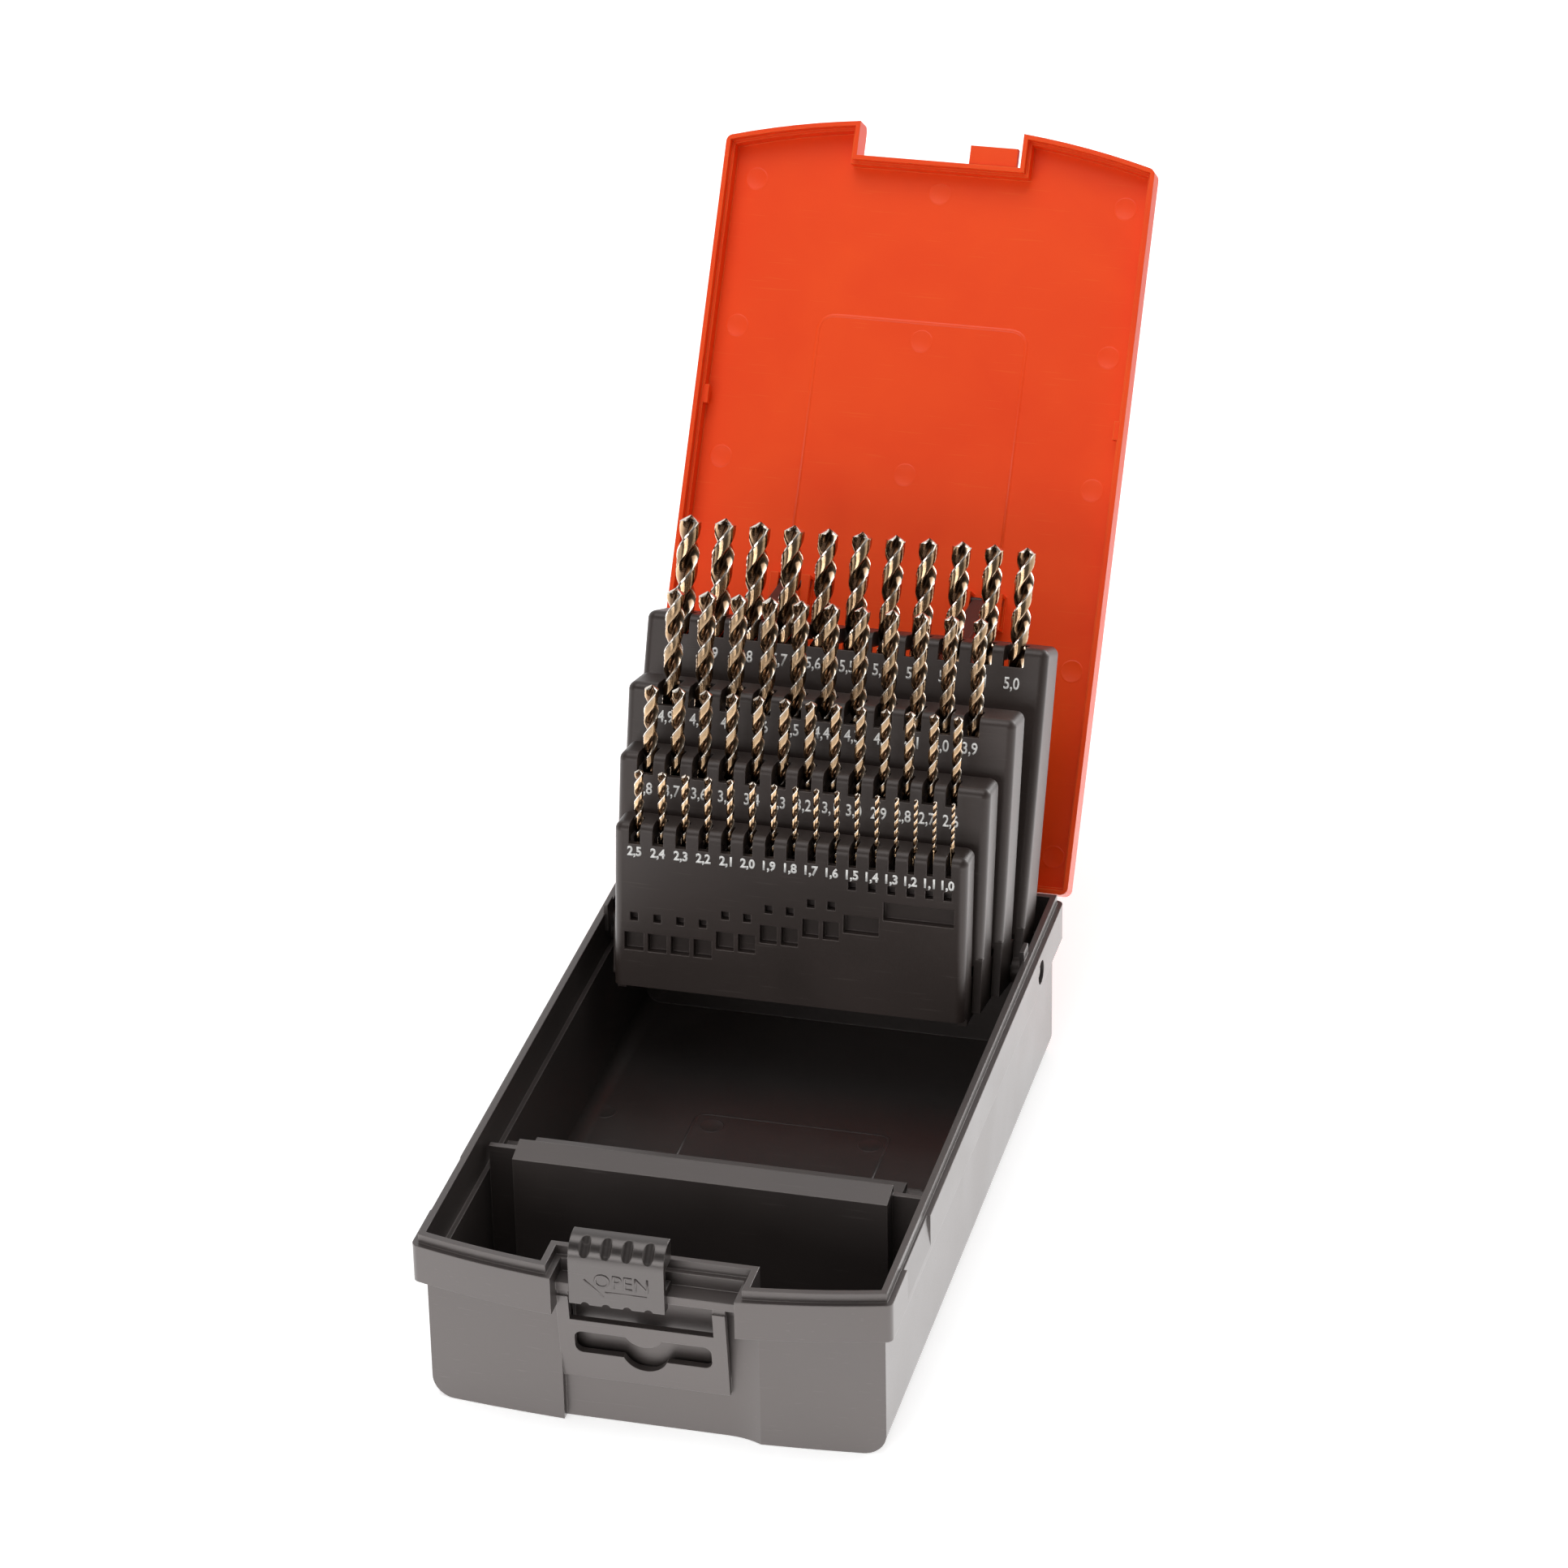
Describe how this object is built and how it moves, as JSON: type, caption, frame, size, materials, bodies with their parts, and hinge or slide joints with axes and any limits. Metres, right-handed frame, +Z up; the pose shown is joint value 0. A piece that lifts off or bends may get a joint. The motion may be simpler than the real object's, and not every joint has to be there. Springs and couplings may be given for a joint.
{
  "type": "drill bit case",
  "caption": "Hinged case that stands graduated twist drills up in folding banks when its lid is opened, with a sliding latch and a hanging slot.",
  "frame": {"origin": "centre of the base's flat underside", "axes": "+Z up, +Y from the latch towards the lid hinge, +X to the right seen from the latch"},
  "size_m": [0.118, 0.3254, 0.2119],
  "materials": {
    "black_plastic": "fine moulded texture",
    "orange_plastic": "satin moulded",
    "cobalt_steel": "bronze heat tint, bright cut edges",
    "bright_steel": "ground"
  },
  "bodies": {
    "base": {"base_shell": "black_plastic", "lid_hinge_pins": "bright_steel", "bank_axle": "bright_steel"},
    "lid": {"lid_shell": "orange_plastic"},
    "latch": {"latch_slider": "black_plastic"},
    "bank_first": {"bank_first": "black_plastic", "drill_1_0_and_1_1": "cobalt_steel", "drill_1_2_and_1_3": "cobalt_steel", "drill_1_4": "cobalt_steel", "drill_1_5": "cobalt_steel", "drill_1_6": "cobalt_steel", "drill_1_7": "cobalt_steel", "drill_1_8": "cobalt_steel", "drill_1_9": "cobalt_steel", "drill_2_0": "cobalt_steel", "drill_2_1": "cobalt_steel", "drill_2_2": "cobalt_steel", "drill_2_3": "cobalt_steel", "drill_2_4": "cobalt_steel", "drill_2_5": "cobalt_steel"},
    "bank_second": {"bank_second": "black_plastic", "drill_2_6": "cobalt_steel", "drill_2_7": "cobalt_steel", "drill_2_8": "cobalt_steel", "drill_2_9": "cobalt_steel", "drill_3_0": "cobalt_steel", "drill_3_1": "cobalt_steel", "drill_3_2": "cobalt_steel", "drill_3_3": "cobalt_steel", "drill_3_4": "cobalt_steel", "drill_3_5": "cobalt_steel", "drill_3_6": "cobalt_steel", "drill_3_7": "cobalt_steel", "drill_3_8": "cobalt_steel"},
    "bank_third": {"bank_third": "black_plastic", "drill_3_9": "cobalt_steel", "drill_4_0": "cobalt_steel", "drill_4_1": "cobalt_steel", "drill_4_2": "cobalt_steel", "drill_4_3": "cobalt_steel", "drill_4_4": "cobalt_steel", "drill_4_5": "cobalt_steel", "drill_4_6": "cobalt_steel", "drill_4_7": "cobalt_steel", "drill_4_8": "cobalt_steel", "drill_4_9": "cobalt_steel"},
    "bank_fourth": {"bank_fourth": "black_plastic", "drill_5_0": "cobalt_steel", "drill_5_1": "cobalt_steel", "drill_5_2": "cobalt_steel", "drill_5_3": "cobalt_steel", "drill_5_4": "cobalt_steel", "drill_5_5": "cobalt_steel", "drill_5_6": "cobalt_steel", "drill_5_7": "cobalt_steel", "drill_5_8": "cobalt_steel", "drill_5_9": "cobalt_steel", "drill_6_0": "cobalt_steel"},
    "arm_left": {"link_arm_left": "black_plastic"},
    "arm_right": {"link_arm_right": "black_plastic"}
  },
  "joints": [
    {"name": "lid_hinge", "type": "hinge", "parent": "base", "child": "lid", "pos_m": [0, 0.0993, 0.04371], "axis": [1, 0, 0], "range_deg": [0, 124]},
    {"name": "latch_slide", "type": "slide", "parent": "base", "child": "latch", "axis": [1, 0, 0], "range_m": [0, 0.0165]},
    {"name": "bank_first_pivot", "type": "hinge", "parent": "base", "child": "bank_first", "pos_m": [0, 0.0692, 0.0395], "axis": [1, 0, 0], "range_deg": [0, 97]},
    {"name": "bank_second_pivot", "type": "hinge", "parent": "base", "child": "bank_second", "pos_m": [0, 0.0692, 0.0395], "axis": [1, 0, 0], "range_deg": [0, 101]},
    {"name": "bank_third_pivot", "type": "hinge", "parent": "base", "child": "bank_third", "pos_m": [0, 0.0692, 0.0395], "axis": [1, 0, 0], "range_deg": [0, 105]},
    {"name": "bank_fourth_pivot", "type": "hinge", "parent": "base", "child": "bank_fourth", "pos_m": [0, 0.0692, 0.0395], "axis": [1, 0, 0], "range_deg": [0, 113.5]},
    {"name": "arm_left_pivot", "type": "hinge", "parent": "bank_fourth", "child": "arm_left", "pos_m": [-0.02635, 0.11042, 0.10941], "axis": [1, 0, 0], "range_deg": [-108.1, 0]},
    {"name": "arm_right_pivot", "type": "hinge", "parent": "bank_fourth", "child": "arm_right", "pos_m": [0.02635, 0.11042, 0.10941], "axis": [1, 0, 0], "range_deg": [-108.1, 0]}
  ],
  "couplings": [
    {"joint": "bank_first_pivot", "follows": "lid_hinge", "ratio": 0.78226},
    {"joint": "bank_second_pivot", "follows": "lid_hinge", "ratio": 0.81452},
    {"joint": "bank_third_pivot", "follows": "lid_hinge", "ratio": 0.84677},
    {"joint": "bank_fourth_pivot", "follows": "lid_hinge", "ratio": 0.91532},
    {"joint": "arm_left_pivot", "follows": "lid_hinge", "ratio": -0.87131},
    {"joint": "arm_right_pivot", "follows": "lid_hinge", "ratio": -0.87131}
  ]
}
